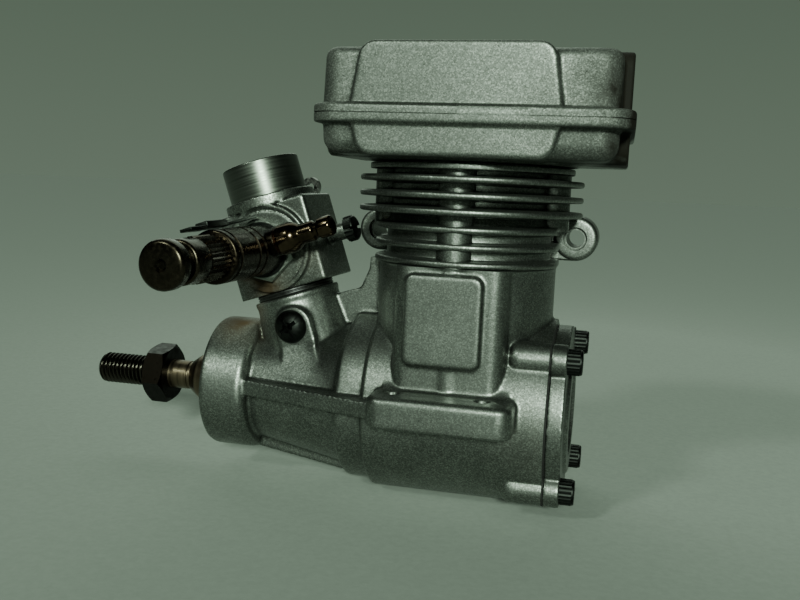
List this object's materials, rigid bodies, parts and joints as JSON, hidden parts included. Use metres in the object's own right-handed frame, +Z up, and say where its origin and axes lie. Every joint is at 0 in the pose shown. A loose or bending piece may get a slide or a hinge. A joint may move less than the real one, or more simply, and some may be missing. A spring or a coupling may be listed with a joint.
{
  "type": "model glow engine",
  "caption": "Single-cylinder two-stroke model engine with heat-sink head, rotary-barrel carburettor, tapered nose housing and threaded shaft.",
  "frame": {"origin": "centre of the four mounting-lug holes on the underside of the lugs, level with the crankshaft axis", "axes": "+X along the crankshaft towards the rear cover, +Y towards the exhaust flange, +Z up the cylinder to the head"},
  "size_m": [0.107, 0.0702, 0.0825],
  "materials": {
    "cast_aluminium": "bead-blasted die casting, worn and oil stained",
    "head_aluminium": "bead-blasted casting with milled slots",
    "cover_aluminium": "die cast with a turned face",
    "carburettor_aluminium": "die cast, intake tube turned bright",
    "plated_liner": "chrome-plated bore",
    "piston_aluminium": "turned",
    "paper_gasket": "oiled paper",
    "black_screws": "black oxide",
    "bright_steel": "ground or turned steel",
    "bearing_steel": "polished bearing steel",
    "bronze": "bearing bronze",
    "tarnished_nickel": "nickel-plated brass, tarnished brown",
    "black_holder": "blackened brass",
    "soft_washer": "copper or fibre washer",
    "seal_rubber": "matt black",
    "insulator": "ceramic"
  },
  "bodies": {
    "engine": {"crankcase": "cast_aluminium", "rear_cover": "cover_aluminium", "rear_cover_gasket": "paper_gasket", "rear_cover_screws": "black_screws", "cylinder_liner": "plated_liner", "cylinder_head": "head_aluminium", "head_gasket": "piston_aluminium", "head_screws": "black_screws", "glow_plug_body": "bright_steel", "glow_plug_washer": "soft_washer", "glow_plug_insulator": "insulator", "glow_plug_pin": "bright_steel", "front_bearing_outer_race": "bearing_steel", "rear_bearing_outer_race": "bearing_steel", "carburettor_body": "carburettor_aluminium", "carburettor_seal": "seal_rubber", "carb_retaining_screws": "black_screws", "rotor_stop_screw": "tarnished_nickel", "needle_holder": "black_holder", "needle_holder_nut": "tarnished_nickel", "ratchet_spring": "bright_steel", "fuel_nipple": "tarnished_nickel", "fuel_nipple_washer": "soft_washer"},
    "crank": {"crankshaft": "bright_steel", "shaft_nut": "black_screws", "drive_cone": "bright_steel", "front_bearing_inner_race": "bearing_steel", "rear_bearing_inner_race": "bearing_steel"},
    "front_ball_set": {"front_bearing_balls": "bearing_steel", "front_bearing_cage": "bearing_steel"},
    "rear_ball_set": {"rear_bearing_balls": "bearing_steel", "rear_bearing_cage": "bearing_steel"},
    "piston_group": {"piston": "piston_aluminium", "wrist_pin": "bright_steel", "wrist_pin_clips": "bright_steel"},
    "rod_group": {"connecting_rod": "piston_aluminium", "small_end_bush": "bronze", "big_end_bush": "bronze", "crankpin": "bright_steel"},
    "throttle": {"throttle_rotor": "bright_steel", "throttle_lever": "piston_aluminium", "throttle_lever_nut": "black_screws"},
    "idle_needle_group": {"idle_needle": "bright_steel"},
    "needle_group": {"needle_valve": "tarnished_nickel"}
  },
  "joints": [
    {"name": "crank_spin", "type": "hinge", "parent": "engine", "child": "crank", "pos_m": [-0.03, 0, 0], "axis": [1, 0, 0], "continuous": true},
    {"name": "front_cage_turn", "type": "hinge", "parent": "engine", "child": "front_ball_set", "pos_m": [-0.0446, 0, 0], "axis": [1, 0, 0], "continuous": true},
    {"name": "rear_cage_turn", "type": "hinge", "parent": "engine", "child": "rear_ball_set", "pos_m": [-0.0125, 0, 0], "axis": [1, 0, 0], "continuous": true},
    {"name": "piston_slide", "type": "slide", "parent": "engine", "child": "piston_group", "axis": [0, 0, 1], "range_m": [-0.0175, 0]},
    {"name": "rod_swing", "type": "hinge", "parent": "piston_group", "child": "rod_group", "pos_m": [0.001, 0, 0.0375], "axis": [1, 0, 0], "range_deg": [-12, 12]},
    {"name": "throttle_turn", "type": "hinge", "parent": "engine", "child": "throttle", "pos_m": [-0.03657, 0, 0.02813], "axis": [0.0495, 0.9986, 0.0169], "range_deg": [-85, 0]},
    {"name": "idle_needle_turn", "type": "hinge", "parent": "throttle", "child": "idle_needle_group", "pos_m": [-0.03592, 0.01298, 0.02835], "axis": [0.0495, 0.9986, 0.0169], "range_deg": [-540, 540]},
    {"name": "needle_turn", "type": "hinge", "parent": "engine", "child": "needle_group", "pos_m": [-0.03805, -0.02996, 0.02763], "axis": [-0.0495, -0.9986, -0.0169], "range_deg": [-540, 540]}
  ]
}
